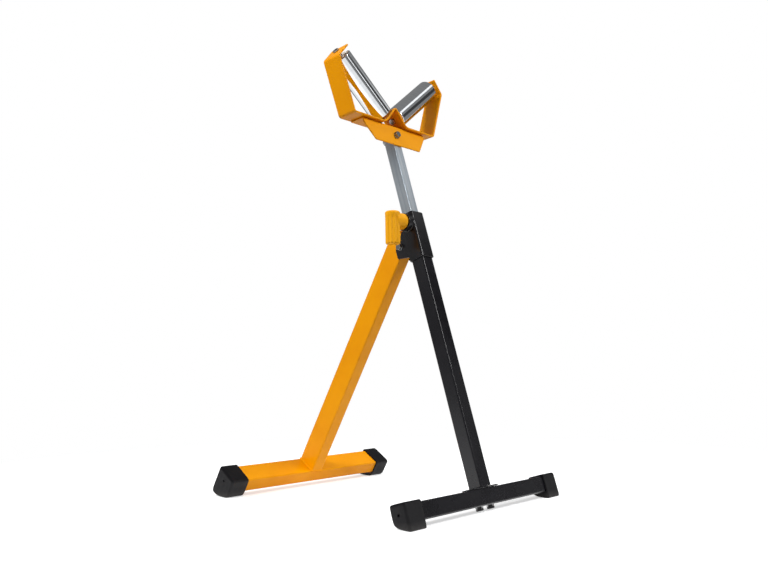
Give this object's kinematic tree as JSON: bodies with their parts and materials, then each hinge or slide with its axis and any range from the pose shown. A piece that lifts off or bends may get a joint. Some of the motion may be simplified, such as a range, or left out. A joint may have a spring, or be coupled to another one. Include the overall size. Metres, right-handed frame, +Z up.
{
  "type": "folding roller stand",
  "caption": "Folding A-frame stand whose sliding square tube carries a bent-strip head with rollers set in a V, for long pipes and boards.",
  "frame": {"origin": "middle of the footprint on the floor, between the front and rear crossbars", "axes": "+Z up, X along the crossbars with the lock lever on the -X side, -Y towards the front frame"},
  "size_m": [0.374, 0.4604, 0.7468],
  "materials": {
    "black_paint": "black powder coat, half gloss",
    "black_rubber": "moulded rubber, matt",
    "black_plastic": "moulded nylon, satin",
    "yellow_paint": "yellow powder coat, half gloss",
    "yellow_plastic": "moulded plastic, satin",
    "zinc_plate": "bright zinc plate",
    "chrome": "polished chrome plate",
    "steel": "zinc-plated fastener steel",
    "black_steel": "black-finished fastener steel",
    "brass": "turned brass",
    "white_plastic": "natural nylon"
  },
  "bodies": {
    "front_frame": {"front_column": "black_paint", "front_crossbar": "black_paint", "column_base_plate": "black_paint", "left_front_foot": "black_rubber", "right_front_foot": "black_rubber", "left_column_bolt": "black_steel", "right_column_bolt": "black_steel", "left_column_bolt_washer": "black_steel", "right_column_bolt_washer": "black_steel", "column_collar": "black_plastic", "lock_bush": "brass", "hinge_bolt": "steel", "hinge_nut": "steel", "left_hinge_washer": "steel", "right_hinge_washer": "steel", "hinge_bush": "steel"},
    "rear_frame": {"rear_leg": "yellow_paint", "rear_crossbar": "yellow_paint", "left_rear_foot": "black_rubber", "right_rear_foot": "black_rubber"},
    "height_post": {"inner_tube": "zinc_plate", "inner_tube_glide": "black_plastic", "head_bracket": "yellow_paint", "head_bolt": "steel", "head_bolt_washer": "steel", "head_nut_washer": "steel", "head_nut": "steel", "head_frame": "yellow_paint", "left_roller_axle": "steel", "right_roller_axle": "steel", "left_axle_nut": "steel", "right_axle_nut": "steel", "left_upper_spacer": "steel", "right_upper_spacer": "steel", "left_lower_spacer": "steel", "right_lower_spacer": "steel"},
    "left_roller": {"left_roller_tube": "chrome", "left_roller_upper_bearing": "white_plastic", "left_roller_lower_bearing": "white_plastic"},
    "right_roller": {"right_roller_tube": "chrome", "right_roller_upper_bearing": "white_plastic", "right_roller_lower_bearing": "white_plastic"},
    "lock_pad": {"lock_pressure_pad": "brass"},
    "lock_handle": {"lock_screw": "steel", "lock_lever": "yellow_plastic"}
  },
  "joints": [
    {"name": "leg_fold", "type": "hinge", "parent": "front_frame", "child": "rear_frame", "pos_m": [0, -0.0642, 0.41418], "axis": [-1, 0, 0], "range_deg": [0, 48.4]},
    {"name": "height_slide", "type": "slide", "parent": "front_frame", "child": "height_post", "axis": [0, 0.284, 0.9588], "range_m": [-0.12, 0.22]},
    {"name": "left_roller_spin", "type": "hinge", "parent": "height_post", "child": "left_roller", "pos_m": [-0.01275, -0.02683, 0.64789], "axis": [-0.766, 0.028, 0.6422], "continuous": true},
    {"name": "right_roller_spin", "type": "hinge", "parent": "height_post", "child": "right_roller", "pos_m": [0.01275, -0.02683, 0.64789], "axis": [0.766, 0.028, 0.6422], "continuous": true},
    {"name": "lock_travel", "type": "slide", "parent": "front_frame", "child": "lock_pad", "axis": [-1, 0, 0], "range_m": [0, 0.00094]},
    {"name": "lock_turn", "type": "hinge", "parent": "lock_pad", "child": "lock_handle", "pos_m": [-0.0495, -0.08038, 0.45287], "axis": [-1, 0, 0], "range_deg": [0, 270]}
  ],
  "couplings": [
    {"joint": "lock_travel", "follows": "lock_turn", "m_per_rad": 0.00019894}
  ]
}
